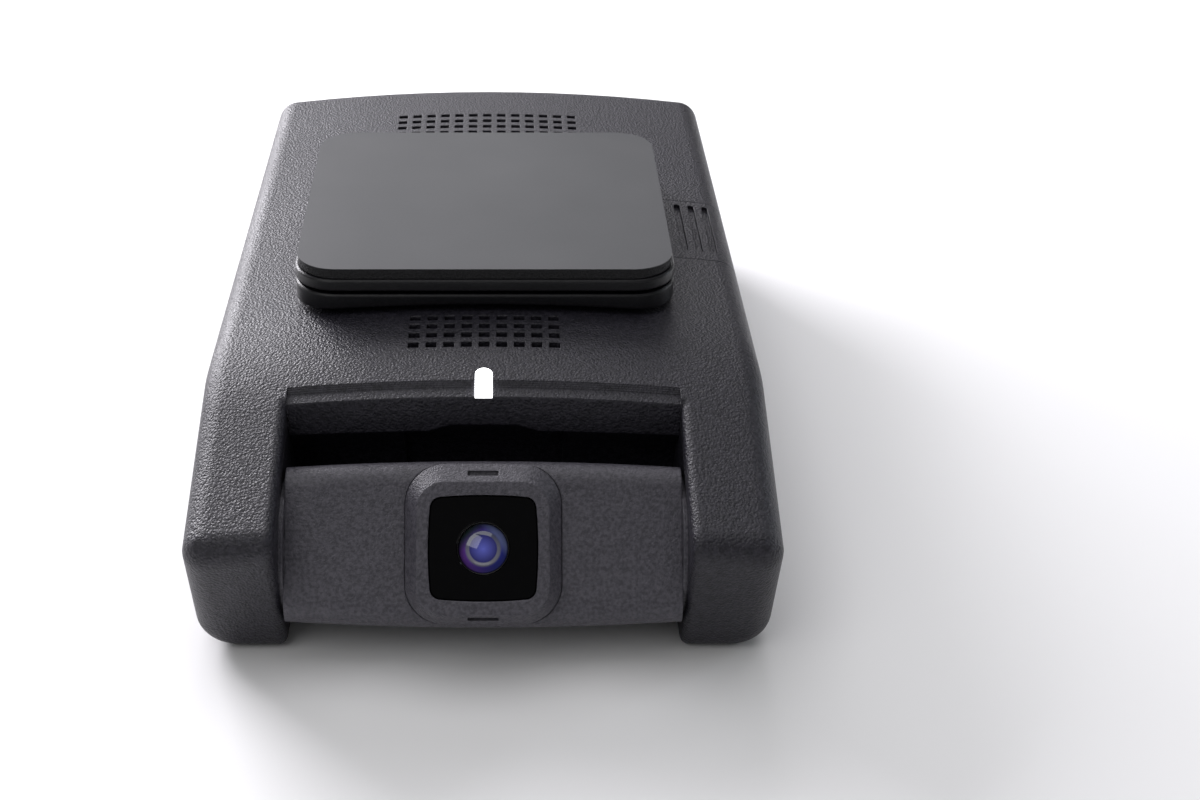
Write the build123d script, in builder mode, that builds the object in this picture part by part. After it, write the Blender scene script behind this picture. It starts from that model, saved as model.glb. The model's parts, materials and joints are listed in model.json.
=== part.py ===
from build123d import *
from functools import cache
from math import asin, cos, radians, sin, sqrt, tan
import os

os.makedirs("parts", exist_ok=True)

# ------------------------------------------------------------------ driving dimensions (mm)
# +Z points out of the windscreen side, the lens end is towards -Y, and the body lies on z = 0.

# Body
body_width = 61.7
rear_y = 51.7                # rear end face
crown_top = 26.7             # highest line of the body, along its middle
crown_radius = 245.0         # gentle arch across the width
shoulder_radius = 3.0
keel_radius = 4.4            # lower long edges
end_radius = 2.7             # edges round the front and rear faces
crease_y = -28.4             # where the top starts to slope down to the lens end
crease_radius = 40.0         # of the soft bend there
slope_angle = 19.2
toe_y = -46.5                # front faces of the arms at z = 0
lean_angle = 19.0            # the front faces lean out by this much
wall = 2.0
fit_gap = 0.1                # between fixed parts
run_gap = 0.3                # between moving parts

# Recess and arms
recess_half = 21.2
fascia_y = -34.0
lip_radius = 0.9
lip_step = 0.45              # the lip lies this much below the top
lip_ledge = 1.3
lip_ramp = 0.75              # run of the steps down to it
sweep_radius = 11.5          # hollow round the tilt axis
sweep_end_radius = 11.8      # its crowned face, at the arms
sweep_mid_radius = 12.25     # and in the middle
notch_radius = 12.9          # deeper hollow in the middle, for the bezel
notch_half = 3.45
notch_flank = 2.65           # run of the notch's sloping ends
notch_low = 19.95
notch_high = 20.8
recess_wall = 2.5
cheek_thickness = 1.8

# Tilting barrel
tilt_y = -41.45
tilt_z = 10.3
lens_up = 36.0               # lens direction at rest, degrees above -Y
barrel_half = 20.8
barrel_end_radius = 8.1
barrel_mid_radius = 8.75
face_height = 5.5            # flat face, out from the tilt axis
face_round = 2.2
barrel_wall = 1.5
hub_radius = 7.2
hub_flange = 0.9
hub_pocket = 0.8             # depth of the round pocket in each cheek
journal_radius = 3.65
journal_gap = 0.05
journal_end = 24.6
cable_hole = 2.0
spigot_radius = 3.2

# Bezel, window and lens
bezel_width = 16.3
bezel_height = 16.6
bezel_corner = 4.2
bezel_seat = 0.9             # sunk into the barrel's face
bezel_rise = 2.0             # stands proud of the barrel's face
bezel_side_slope = 1.3       # width of the sloping rim, at the sides
bezel_upper_slope = 1.9
bezel_lower_slope = 1.0
bezel_frame = 1.5            # how far it overlaps the barrel's opening
rim_slot_length = 3.2
rim_slot_depth = 1.3         # below the bezel's face
window_width = 11.35
window_height = 10.9
window_bow = 0.3
window_corner = 1.15
window_thickness = 1.0
window_sunk = 0.15
window_ledge = 0.8
aperture_radius = 2.7
lens_drop = 0.45             # lens axis below the tilt axis, across the lens direction
lens_radius = 2.6
tube_radius = 3.6
baffle_radius = 1.4
rear_bore = 2.5
ribbon_thickness = 0.2
ribbon_width = 3.4

# Windscreen mount
pad_width = 43.0
pad_length = 40.0
pad_corner = 5.0
pad_y = 1.25
overall_height = 31.9
liner = 0.1
foam = 1.2
bracket_rim = 0.3            # bracket stands out past the pad
bracket_plate = 1.3
plate_gap = 0.5
shoe_plate = 1.2
shoe_lift = 0.9              # underside of the shoe's plate, above the body
shoe_inset = 2.2             # foot of the shoe, in from its plate
rail_x = 12.0
rail_stem = 2.8
rail_flange = 5.6
rail_flange_thickness = 0.8
rail_length = 30.0
slide_gap = 0.1

# Vents
vent_x = 1.2
vent_y = 1.0
front_vent_columns = 9
front_vent_rows = 4
front_vent_pitch = (1.95, 1.89)
front_vent_y = -23.37
rear_vent_columns = 13
rear_vent_rows = 5
rear_vent_pitch = (1.99, 2.06)
rear_vent_y = 36.2

# Memory card door
door_y0 = -3.05
door_y1 = 13.85
door_x = 22.5                # its inner edge on the top
door_low = 11.6              # its lower edge on the flank
door_thickness = 1.1
groove_width = 0.75
groove_depth = 0.5
groove_length = 13.5
groove_xs = (24.6, 26.4, 28.2)
card_length = 15.0
card_width = 11.0
card_thickness = 1.0
card_x = 12.6                # inner end of the seated card

# Light guide at the lip
guide_width = 1.86
guide_back = -30.3
guide_floor = 24.15          # underside of its part over the lip
guide_stem = 1.1
guide_end = 22.9             # lower end of its stem
lamp_height = 0.7

# Boards
board_z = 12.0
board_thickness = 1.2
board_half = 25.0
board_y0 = -16.0
board_setback = 5.7          # the board ends this far from the rear face
button_board_z = 5.4
button_board_thickness = 0.8
button_board_half = 22.0
button_y = -7.0
button_board_depth = 12.0

# Buttons and sound
button_xs = {"record_button": -13.0, "function_button_1": 0.0, "function_button_2": 9.0,
             "function_button_3": 18.0}
button_radii = {"record_button": 4.5, "function_button_1": 2.7, "function_button_2": 2.7,
                "function_button_3": 2.7}
button_face = 0.25           # faces of the buttons, in from the cover's outer face
button_travel = 0.25
switch_height = 1.6
switch_gap = 0.05
microphone_x = -21.0
speaker_y = 30.0
speaker_radius = 9.0
speaker_height = 3.6

# Small parts inside
sensor_board_thickness = 0.8
capacitor_radius = 4.2
leaf_rise = 0.3              # of the detent leaf, above the shoe

# Fasteners
screw_radius = 0.85
screw_head = 1.9
head_thickness = 0.9
boss_radius = 2.5
cover_screw_x = 22.0
cover_screw_ys = (-25.0, 45.6)
board_screw_spots = ((-21.5, 8.0), (21.5, -12.5), (-21.5, 29.0), (21.5, 29.0))
shoe_screw_x = 5.5
shoe_screw_y = 12.0

# Rear sockets
dc_radius = 1.8
antenna_radius = 1.3
dc_x = -15.6
antenna_x = 5.5
camera_port_x = -6.0
service_port_x = 14.4
socket_z = 16.2

# ------------------------------------------------------------------ worked out from them
body_half = body_width / 2
crown_centre = crown_top - crown_radius
board_top = board_z + board_thickness
board_y1 = rear_y - board_setback
liner_z = overall_height - liner
foam_z = liner_z - foam
bracket_z = foam_z - bracket_plate
shoe_top = bracket_z - plate_gap
cover_front = tilt_y + sqrt((sweep_radius + recess_wall) ** 2 - (tilt_z - wall) ** 2) + fit_gap
cover_half = body_half - keel_radius - 0.8
cover_rear = rear_y - end_radius - 1.6
flange_z = wall + 0.05
tilt_line = Axis((0, tilt_y, tilt_z), (1, 0, 0))
optic = Plane(
    origin=(0, tilt_y, tilt_z),
    x_dir=(1, 0, 0),
    z_dir=(0, -cos(radians(lens_up)), sin(radians(lens_up))),
)
optic_line = Axis(optic.origin, optic.z_dir)
lens_face = Plane(origin=optic.origin - optic.y_dir * lens_drop, x_dir=optic.x_dir, z_dir=optic.z_dir)
lens_line = Axis(lens_face.origin, lens_face.z_dir)
front_plane = Plane(
    origin=(0, toe_y, 0),
    x_dir=(1, 0, 0),
    z_dir=(0, -cos(radians(lean_angle)), -sin(radians(lean_angle))),
)
slope_plane = Plane(
    origin=(0, crease_y, 0),
    x_dir=(1, 0, 0),
    z_dir=(0, -cos(radians(slope_angle)), -sin(radians(slope_angle))),
)


def crown_z(x):
    """Height of the body's arched top at x."""
    return crown_centre + sqrt(crown_radius**2 - x**2)


def finish(builder, name):
    """Name a finished sub-part and write it."""
    builder.part.label = name
    export_step(builder.part, f"parts/{name}.step")


# ------------------------------------------------------------------ shared forms
def crown_section(plane, top, floor, inset):
    """Cross-section under the arched top, with rounded shoulders."""
    half = body_half - inset
    radius = crown_radius - inset
    centre = top - crown_radius
    edge_z = centre + sqrt(radius**2 - half**2)
    with BuildSketch(plane) as section:
        with BuildLine():
            Polyline((-half, edge_z), (-half, floor), (half, floor), (half, edge_z))
            ThreePointArc((half, edge_z), (0, centre + radius), (-half, edge_z))
        make_face()
        fillet(section.vertices().group_by(Axis.Y)[-1], shoulder_radius - inset)
    return section.sketch


@cache
def body_block(inset):
    """The outer form of the body, or a copy of it that lies deeper by an inset."""
    reach = 3 * rear_y
    with BuildPart() as block:
        extrude(crown_section(Plane.XZ.offset(-rear_y + inset), crown_top, inset, inset), amount=reach)
        fillet(
            block.edges().filter_by(Axis.Y).group_by(Axis.Z)[0],
            keel_radius - inset,
        )
        slope_top = crown_top * cos(radians(slope_angle))
        extrude(
            crown_section(slope_plane, slope_top, -reach, inset),
            amount=reach,
            both=True,
            mode=Mode.INTERSECT,
        )
        with BuildSketch(Plane.YZ) as side:
            lean = tan(radians(lean_angle))
            toe = toe_y + inset / cos(radians(lean_angle))
            with BuildLine():
                Polyline(
                    (toe, 0),
                    (toe - lean * reach, reach),
                    (reach, reach),
                    (reach, 0),
                    close=True,
                )
            make_face()
        extrude(side.sketch, amount=reach, both=True, mode=Mode.INTERSECT)
        if inset == 0:
            bend = block.edges().filter_by_position(Axis.Y, crease_y - 2, crease_y + 2)
            fillet(bend.filter_by(GeomType.ELLIPSE), crease_radius)
            fillet(block.faces().sort_by(Axis.Y)[-1].edges(), end_radius)
            fillet(block.faces().filter_by(front_plane).edges(), end_radius)
    return block.part


@cache
def barrel_form(inset):
    """The barrel: a crowned round back and a flatter front with a plane face."""
    half = barrel_half - inset
    end = barrel_end_radius - inset
    mid = barrel_mid_radius - inset
    with BuildPart() as form:
        with BuildSketch(optic) as back:
            with BuildLine():
                Polyline((-half, end), (-half, 0), (half, 0), (half, end))
                ThreePointArc((half, end), (0, mid), (-half, end))
            make_face()
        revolve(axis=tilt_line)
        split(bisect_by=optic, keep=Keep.BOTTOM)
        with BuildSketch(optic) as front:
            with BuildLine():
                ThreePointArc((half, end), (0, mid), (-half, end))
                Line((-half, end), (-half, -end))
                ThreePointArc((-half, -end), (0, -mid), (half, -end))
                Line((half, -end), (half, end))
            make_face()
        extrude(amount=face_height - inset)
        rim = form.faces().sort_by(optic_line)[-1].edges()
        fillet(rim.filter_by(GeomType.CIRCLE), face_round)
    return form.part


def recess_outline(grow):
    """Side outline of the hollow between the arms, open to the front."""
    with BuildSketch(Plane.YZ) as outline:
        with Locations((tilt_y, tilt_z)):
            Circle(sweep_radius + grow)
        with Locations((fascia_y + grow - 20, 15)):
            Rectangle(40, 70)
    return outline.sketch


def recess_lips(shell):
    """Upper edges of the hollow between the arms: the long lip and the arms' inner edges."""
    high = shell.edges().filter_by(lambda edge: edge.center().Z > tilt_z + sweep_radius - 1)
    near = high.filter_by_position(Axis.Y, -rear_y, fascia_y + 0.01)
    lip = near.filter_by(lambda edge: abs(edge.center().X) < 1)
    arms = near.filter_by(lambda edge: abs(abs(edge.center().X) - recess_half) < 0.01)
    return lip + arms.filter_by(lambda edge: edge.center().Y < fascia_y - 1)


def door_panel(inset, gap):
    """The part of the body's skin that the memory card door takes up."""
    with BuildPart() as panel:
        add(body_block(0))
        add(body_block(inset), mode=Mode.SUBTRACT)
        with BuildSketch(Plane.XY.offset(door_low + gap)) as region:
            with Locations((door_x + gap, door_y0 + gap)):
                Rectangle(body_half, door_y1 - door_y0 - 2 * gap, align=(Align.MIN, Align.MIN))
        extrude(amount=crown_top, mode=Mode.INTERSECT)
    return panel.part


def guide_space(gap):
    """Room for the light guide: over the lip, with a stem down through the wall."""
    with BuildPart() as space:
        with BuildSketch(Plane.XY.offset(guide_floor - gap)) as top:
            with Locations((0, guide_back + gap)):
                Rectangle(guide_width + 2 * gap, 10, align=(Align.CENTER, Align.MAX))
            fillet(top.vertices().group_by(Axis.Y)[-1], guide_width / 2)
        extrude(amount=crown_top - guide_floor + 1)
        with BuildSketch(Plane.XY.offset(guide_end)) as stem:
            with Locations((0, guide_back + gap)):
                Rectangle(guide_width + 2 * gap, guide_stem + 2 * gap, align=(Align.CENTER, Align.MAX))
            fillet(stem.vertices().group_by(Axis.Y)[-1], guide_width / 2)
        extrude(amount=crown_top - guide_end)
    return space.part


# ------------------------------------------------------------------ housing
cover_spots = [(x, y) for x in (-cover_screw_x, cover_screw_x) for y in cover_screw_ys]
shoe_spots = [
    (x, pad_y + y) for x in (-shoe_screw_x, shoe_screw_x) for y in (-shoe_screw_y, shoe_screw_y)
]
door_y = (door_y0 + door_y1) / 2
card_z = board_top + 0.6
slot_z = card_z + card_thickness / 2

with BuildPart() as hollow:
    add(body_block(wall))
    extrude(recess_outline(recess_wall), amount=recess_half, both=True, mode=Mode.SUBTRACT)

with BuildPart() as bosses:
    with BuildSketch(Plane.XY.offset(wall)) as feet:
        with Locations(*cover_spots):
            Circle(boss_radius)
    extrude(amount=crown_top)
    with BuildSketch(Plane.XY.offset(board_top)) as posts:
        with Locations(*board_screw_spots):
            Circle(boss_radius - 0.4)
    extrude(amount=crown_top)
    add(body_block(wall / 2), mode=Mode.INTERSECT)

with BuildPart() as notch:
    with BuildSketch(Plane.YZ) as round_hollow:
        with Locations((tilt_y, tilt_z)):
            Circle(notch_radius)
    extrude(amount=notch_half + 2 * notch_flank, both=True)
    with BuildSketch(Plane.XZ.offset(-tilt_y)) as rise:
        with BuildLine():
            Polyline(
                (-notch_half - 2 * notch_flank, notch_low),
                (-notch_half - notch_flank, notch_low),
                (-notch_half, notch_high),
                (notch_half, notch_high),
                (notch_half + notch_flank, notch_low),
                (notch_half + 2 * notch_flank, notch_low),
                (notch_half + 2 * notch_flank, tilt_z),
                (-notch_half - 2 * notch_flank, tilt_z),
                close=True,
            )
        make_face()
        fillet(rise.vertices().filter_by_position(Axis.Y, notch_low - 0.1, crown_top)
               .filter_by_position(Axis.X, -notch_half - notch_flank - 0.1, notch_half + notch_flank + 0.1),
               notch_flank)
    extrude(amount=notch_radius, both=True, mode=Mode.INTERSECT)

with BuildPart() as crowned_sweep:
    with BuildSketch(Plane.XY.offset(tilt_z)) as profile:
        with BuildLine():
            Polyline(
                (-recess_half, tilt_y + sweep_end_radius),
                (-recess_half, tilt_y),
                (recess_half, tilt_y),
                (recess_half, tilt_y + sweep_end_radius),
            )
            ThreePointArc(
                (recess_half, tilt_y + sweep_end_radius),
                (0, tilt_y + sweep_mid_radius),
                (-recess_half, tilt_y + sweep_end_radius),
            )
        make_face()
    revolve(axis=tilt_line)



def lip_strip(share):
    """The skin over the lip, to a share of the step's depth; the deeper, the shorter."""
    with BuildPart() as strip:
        with BuildSketch():
            with Locations((0, fascia_y)):
                Rectangle(2 * recess_half, 2 * (lip_ledge + (1 - share) * lip_ramp))
        extrude(amount=2 * crown_top)
        add(body_block(0).moved(Location((0, 0, -lip_step * share))), mode=Mode.SUBTRACT)
    return strip.part


peg_spots = ((tilt_y - 2.5, 3.7), (tilt_y + 10.6, 5.0), (tilt_y + 8.2, 18.4))

with BuildPart() as upper_housing:
    add(body_block(0))
    extrude(recess_outline(0), amount=recess_half, both=True, mode=Mode.SUBTRACT)
    fillet(recess_lips(upper_housing), lip_radius)
    for share in (0.25, 0.5, 0.75, 1):
        add(lip_strip(share), mode=Mode.SUBTRACT)
    add(crowned_sweep.part, mode=Mode.SUBTRACT)
    add(hollow.part, mode=Mode.SUBTRACT)
    add(bosses.part)
    add(notch.part, mode=Mode.SUBTRACT)
    # opening for the bottom cover
    with BuildSketch() as opening:
        with Locations((0, cover_front - fit_gap)):
            Rectangle(
                2 * (cover_half + fit_gap),
                cover_rear - cover_front + 2 * fit_gap,
                align=(Align.CENTER, Align.MIN),
            )
        fillet(opening.vertices(), boss_radius)
    extrude(amount=wall, mode=Mode.SUBTRACT)
    # vents
    with BuildSketch(Plane.XY.offset(crown_top)) as vents:
        with Locations((0, front_vent_y)):
            with GridLocations(*front_vent_pitch, front_vent_columns, front_vent_rows):
                Rectangle(vent_x, vent_y)
        with Locations((0, rear_vent_y)):
            with GridLocations(*rear_vent_pitch, rear_vent_columns, rear_vent_rows):
                Rectangle(vent_x, vent_y)
    extrude(amount=-wall - 1.2, mode=Mode.SUBTRACT)
    # seat of the memory card door, and the slot behind it
    add(door_panel(door_thickness + fit_gap, 0), mode=Mode.SUBTRACT)
    with BuildSketch(Plane.YZ.offset(body_half - wall - 1)) as card_slot:
        with Locations((door_y, slot_z)):
            RectangleRounded(card_width + 1.2, card_thickness + 0.8, 0.5)
    extrude(amount=wall + 2, mode=Mode.SUBTRACT)
    # light guide, screws and pegs
    add(guide_space(fit_gap / 2), mode=Mode.SUBTRACT)
    with BuildSketch(Plane.XY.offset(wall)) as cover_pilots:
        with Locations(*cover_spots):
            Circle(screw_radius)
    extrude(amount=9, mode=Mode.SUBTRACT)
    with BuildSketch(Plane.XY.offset(board_top)) as board_pilots:
        with Locations(*board_screw_spots):
            Circle(screw_radius)
    extrude(amount=6, mode=Mode.SUBTRACT)
    with BuildSketch(Plane.XY.offset(crown_top - 2 * wall)) as shoe_holes:
        with Locations(*shoe_spots):
            Circle(screw_radius + 0.2)
    extrude(amount=3 * wall, mode=Mode.SUBTRACT)
    for side in (-1, 1):
        with BuildSketch(Plane.YZ.offset(side * (body_half - wall - 3.4))) as peg_seats:
            with Locations(*peg_spots):
                Circle(2.0)
                Circle(0.95, mode=Mode.SUBTRACT)
        extrude(amount=side * 3.6)
        with BuildSketch(Plane.YZ.offset(side * recess_half)) as hub_room:
            with Locations((tilt_y, tilt_z)):
                Circle(hub_radius + run_gap)
        extrude(amount=side * hub_pocket, mode=Mode.SUBTRACT)
    # rear sockets
    with BuildSketch(Plane.XZ.offset(-rear_y + wall + 1)) as sockets:
        with Locations((dc_x, socket_z)):
            Circle(dc_radius + 1.3)
        with Locations((antenna_x, socket_z)):
            Circle(antenna_radius + 1.2)
        with Locations((camera_port_x, socket_z)):
            RectangleRounded(8.4, 3.6, 0.8)
        with Locations((service_port_x, socket_z)):
            RectangleRounded(9.6, 4.0, 1.9)
    extrude(amount=-wall - 2, mode=Mode.SUBTRACT)
finish(upper_housing, "upper_housing")

# ------------------------------------------------------------------ bottom cover and buttons
post_spots = [(x, button_y + y) for x in (-button_board_half + 2.4, 4.5) for y in (-4.4, 4.4)]

with BuildPart() as bottom_cover:
    with BuildSketch() as plate:
        with Locations((0, cover_front)):
            Rectangle(2 * cover_half, cover_rear - cover_front, align=(Align.CENTER, Align.MIN))
        fillet(plate.vertices(), boss_radius - fit_gap)
    extrude(amount=wall)
    chamfer(bottom_cover.faces().sort_by(Axis.Z)[0].edges(), 0.25)
    with BuildSketch(Plane.XY.offset(wall)) as posts:
        with Locations(*post_spots):
            Circle(1.5)
    extrude(amount=button_board_z - wall)
    with BuildSketch(Plane.XY.offset(wall)) as speaker_wall:
        with Locations((0, speaker_y)):
            Circle(speaker_radius + fit_gap + 1.0)
            Circle(speaker_radius + fit_gap, mode=Mode.SUBTRACT)
    extrude(amount=2.0)
    with BuildSketch() as grille:
        with Locations((0, speaker_y)):
            with HexLocations(1.25, 5, 4):
                Circle(0.6)
        with Locations((microphone_x, button_y)):
            Circle(0.5)
        with Locations(*cover_spots):
            Circle(screw_radius + 0.2)
    extrude(amount=wall, mode=Mode.SUBTRACT)
    with BuildSketch() as sinks:
        with Locations(*cover_spots):
            Circle(screw_head + 0.2)
    extrude(amount=head_thickness + 0.2, mode=Mode.SUBTRACT)
    with BuildSketch() as button_holes:
        for name, x in button_xs.items():
            with Locations((x, button_y)):
                Circle(button_radii[name] + fit_gap)
    extrude(amount=wall, mode=Mode.SUBTRACT)
finish(bottom_cover, "bottom_cover")

for name, x in button_xs.items():
    with BuildPart() as button:
        with BuildSketch(Plane.XY.offset(button_face)) as cap:
            with Locations((x, button_y)):
                Circle(button_radii[name])
        extrude(amount=flange_z - button_face)
        fillet(button.faces().sort_by(Axis.Z)[0].edges(), 0.35)
        with BuildSketch(Plane.XY.offset(flange_z)) as flange:
            with Locations((x, button_y)):
                Circle(button_radii[name] + 0.6)
        extrude(amount=0.5)
        with BuildSketch(Plane.XY.offset(flange_z)) as stem:
            with Locations((x, button_y)):
                Circle(1.2)
        extrude(amount=button_board_z - switch_height - button_travel - switch_gap - flange_z)
    finish(button, name)

with BuildPart() as tact_switches:
    with BuildSketch(Plane.XY.offset(button_board_z)) as cases:
        with Locations(*[(x, button_y) for x in button_xs.values()]):
            RectangleRounded(4.2, 4.2, 0.4)
    extrude(amount=-switch_height + 0.4)
    with BuildSketch(Plane.XY.offset(button_board_z - switch_height + 0.4)) as plungers:
        with Locations(*[(x, button_y) for x in button_xs.values()]):
            Circle(1.0)
    extrude(amount=-0.4)
finish(tact_switches, "tact_switches")

with BuildPart() as button_board:
    with BuildSketch(Plane.XY.offset(button_board_z)) as outline:
        with Locations((0, button_y)):
            RectangleRounded(2 * button_board_half, button_board_depth, 1.0)
    extrude(amount=button_board_thickness)
finish(button_board, "button_board")

with BuildPart() as microphone:
    with BuildSketch(Plane.XY.offset(button_board_z)) as can:
        with Locations((microphone_x + 0.6, button_y)):
            Circle(1.7)
    extrude(amount=-1.4)
finish(microphone, "microphone")

with BuildPart() as speaker:
    with BuildSketch(Plane.XY.offset(wall)) as frame:
        with Locations((0, speaker_y)):
            Circle(speaker_radius)
    extrude(amount=speaker_height * 0.6)
    with BuildSketch(Plane.XY.offset(wall + speaker_height * 0.6)) as magnet:
        with Locations((0, speaker_y)):
            Circle(speaker_radius * 0.6)
    extrude(amount=speaker_height * 0.4)
    with BuildSketch(Plane.XY.offset(wall)) as cone:
        with Locations((0, speaker_y)):
            Circle(speaker_radius - 1.2)
    extrude(amount=0.6, mode=Mode.SUBTRACT)
finish(speaker, "speaker")

with BuildPart() as housing_screws:
    with BuildSketch(Plane.XY.offset(0.2)) as heads:
        with Locations(*cover_spots):
            Circle(screw_head)
            RegularPolygon(0.7, 6, mode=Mode.SUBTRACT)
    extrude(amount=head_thickness)
    with BuildSketch(Plane.XY.offset(0.2 + head_thickness * 0.6)) as shanks:
        with Locations(*cover_spots):
            Circle(screw_radius)
    extrude(amount=8)
finish(housing_screws, "housing_screws")

# ------------------------------------------------------------------ arms' inner walls
cheek_names = {-1: "pivot_cheek_left", 1: "pivot_cheek_right"}
for side, name in cheek_names.items():
    with BuildPart() as cheek:
        add(body_block(wall + fit_gap))
        reach = side * (recess_half + cheek_thickness)
        extrude(recess_outline(recess_wall - 2 * fit_gap), amount=reach, mode=Mode.INTERSECT)
        split(
            bisect_by=Plane.YZ.offset(side * recess_half),
            keep=Keep.TOP if side > 0 else Keep.BOTTOM,
        )
        with BuildSketch(Plane.YZ.offset(side * recess_half)) as pocket:
            with Locations((tilt_y, tilt_z)):
                Circle(hub_radius + run_gap)
        extrude(amount=side * hub_pocket, mode=Mode.SUBTRACT)
        with BuildSketch(Plane.YZ.offset(side * recess_half)) as bore:
            with Locations((tilt_y, tilt_z)):
                Circle(journal_radius + journal_gap)
        extrude(amount=side * cheek_thickness, mode=Mode.SUBTRACT)
        with BuildSketch(Plane.YZ.offset(side * (recess_half + cheek_thickness))) as pegs:
            with Locations(*peg_spots):
                Circle(0.9)
        extrude(amount=side * 4.0)
    finish(cheek, name)

# ------------------------------------------------------------------ tilting barrel
barrel_screw_spots = [(side * 14.0, 4.2) for side in (-1, 1)]
opening_width = bezel_width - 2 * bezel_frame
opening_height = bezel_height - 2 * bezel_frame
bezel_base = face_height - bezel_seat
bezel_top = face_height + bezel_rise
window_top = bezel_top - window_sunk
window_base = window_top - window_thickness

with BuildPart() as barrel_bosses:
    with BuildSketch(optic.offset(-barrel_mid_radius)) as rounds:
        with Locations(*barrel_screw_spots):
            Circle(2.2)
    extrude(amount=barrel_mid_radius + face_height)
    add(barrel_form(barrel_wall / 2), mode=Mode.INTERSECT)

with BuildPart() as barrel_shell:
    add(barrel_form(0))
    add(barrel_form(barrel_wall), mode=Mode.SUBTRACT)
    add(barrel_bosses.part)
    with BuildSketch(Plane.YZ) as hub_openings:
        with Locations((tilt_y, tilt_z)):
            Circle(spigot_radius + fit_gap / 2)
    extrude(amount=barrel_half, both=True, mode=Mode.SUBTRACT)
    add(barrel_bosses.part)
    with BuildSketch(optic.offset(bezel_base)) as bezel_seat_cut:
        RectangleRounded(bezel_width + fit_gap, bezel_height + fit_gap, bezel_corner)
    extrude(amount=bezel_rise + bezel_seat, mode=Mode.SUBTRACT)
    with BuildSketch(optic) as lens_opening:
        RectangleRounded(opening_width, opening_height, bezel_corner - bezel_frame)
    extrude(amount=face_height, mode=Mode.SUBTRACT)
    with BuildSketch(optic.offset(-barrel_mid_radius)) as screw_sinks:
        with Locations(*barrel_screw_spots):
            Circle(screw_head * 0.7 + fit_gap)
    extrude(amount=barrel_mid_radius - 4.0, mode=Mode.SUBTRACT)
    with BuildSketch(optic.offset(-barrel_mid_radius)) as screw_holes:
        with Locations(*barrel_screw_spots):
            Circle(screw_radius * 0.8)
    extrude(amount=barrel_mid_radius + face_height - barrel_wall - 0.4, mode=Mode.SUBTRACT)

with BuildPart() as barrel_front_shell:
    add(barrel_shell.part)
    split(bisect_by=optic, keep=Keep.TOP)
finish(barrel_front_shell, "barrel_front_shell")

with BuildPart() as barrel_rear_shell:
    add(barrel_shell.part)
    split(bisect_by=optic, keep=Keep.BOTTOM)
finish(barrel_rear_shell, "barrel_rear_shell")

with BuildPart() as barrel_screws:
    with BuildSketch(optic.offset(-4.0)) as heads:
        with Locations(*barrel_screw_spots):
            Circle(screw_head * 0.7)
            RegularPolygon(0.55, 6, mode=Mode.SUBTRACT)
    extrude(amount=-0.8)
    with BuildSketch(optic.offset(-4.3)) as shanks:
        with Locations(*barrel_screw_spots):
            Circle(screw_radius * 0.8)
    extrude(amount=7.5)
finish(barrel_screws, "barrel_screws")

hub_names = {-1: "hub_left", 1: "hub_right"}
hub_face = barrel_half + hub_flange
washer_thickness = recess_half + hub_pocket - hub_face - 0.06
clip_x = recess_half + cheek_thickness + 0.12
clip_thickness = 0.6

for side, name in hub_names.items():
    with BuildPart() as hub:
        with BuildSketch(Plane.YZ.offset(side * barrel_half)) as flange:
            with Locations((tilt_y, tilt_z)):
                Circle(hub_radius)
        extrude(amount=side * hub_flange)
        chamfer(hub.edges().group_by(Axis.X)[-1 if side > 0 else 0], 0.25)
        with BuildSketch(Plane.YZ.offset(side * (barrel_half - barrel_wall))) as spigot:
            with Locations((tilt_y, tilt_z)):
                Circle(spigot_radius)
        extrude(amount=side * barrel_wall)
        with BuildSketch(Plane.YZ.offset(side * (barrel_half - barrel_wall))) as keeper:
            with Locations((tilt_y, tilt_z)):
                Circle(spigot_radius + 0.7)
        extrude(amount=-side * 0.8)
        with BuildSketch(Plane.YZ.offset(side * hub_face)) as journal:
            with Locations((tilt_y, tilt_z)):
                Circle(journal_radius)
        extrude(amount=side * (journal_end - hub_face))
        with BuildSketch(Plane.YZ.offset(side * clip_x)) as clip_groove:
            with Locations((tilt_y, tilt_z)):
                Circle(journal_radius + 1)
                Circle(journal_radius - 0.45, mode=Mode.SUBTRACT)
        extrude(amount=side * clip_thickness, mode=Mode.SUBTRACT)
        with BuildSketch(Plane.YZ) as cable_way:
            with Locations((tilt_y, tilt_z)):
                Circle(cable_hole)
        extrude(amount=side * journal_end, mode=Mode.SUBTRACT)
    finish(hub, name)

with BuildPart() as hub_washers:
    for side in (-1, 1):
        with BuildSketch(Plane.YZ.offset(side * (hub_face + 0.02))) as ring:
            with Locations((tilt_y, tilt_z)):
                Circle(hub_radius - 0.9)
                Circle(journal_radius + 0.15, mode=Mode.SUBTRACT)
        extrude(amount=side * washer_thickness)
finish(hub_washers, "hub_washers")

with BuildPart() as hub_clips:
    for side in (-1, 1):
        with BuildSketch(Plane.YZ.offset(side * (clip_x + 0.03))) as ring:
            with Locations((tilt_y, tilt_z)):
                Circle(journal_radius + 1.1)
                Circle(journal_radius - 0.4, mode=Mode.SUBTRACT)
            with Locations((tilt_y - journal_radius, tilt_z)):
                Rectangle(3.2, 2.2, mode=Mode.SUBTRACT)
        extrude(amount=side * (clip_thickness - 0.06))
finish(hub_clips, "hub_clips")


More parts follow.
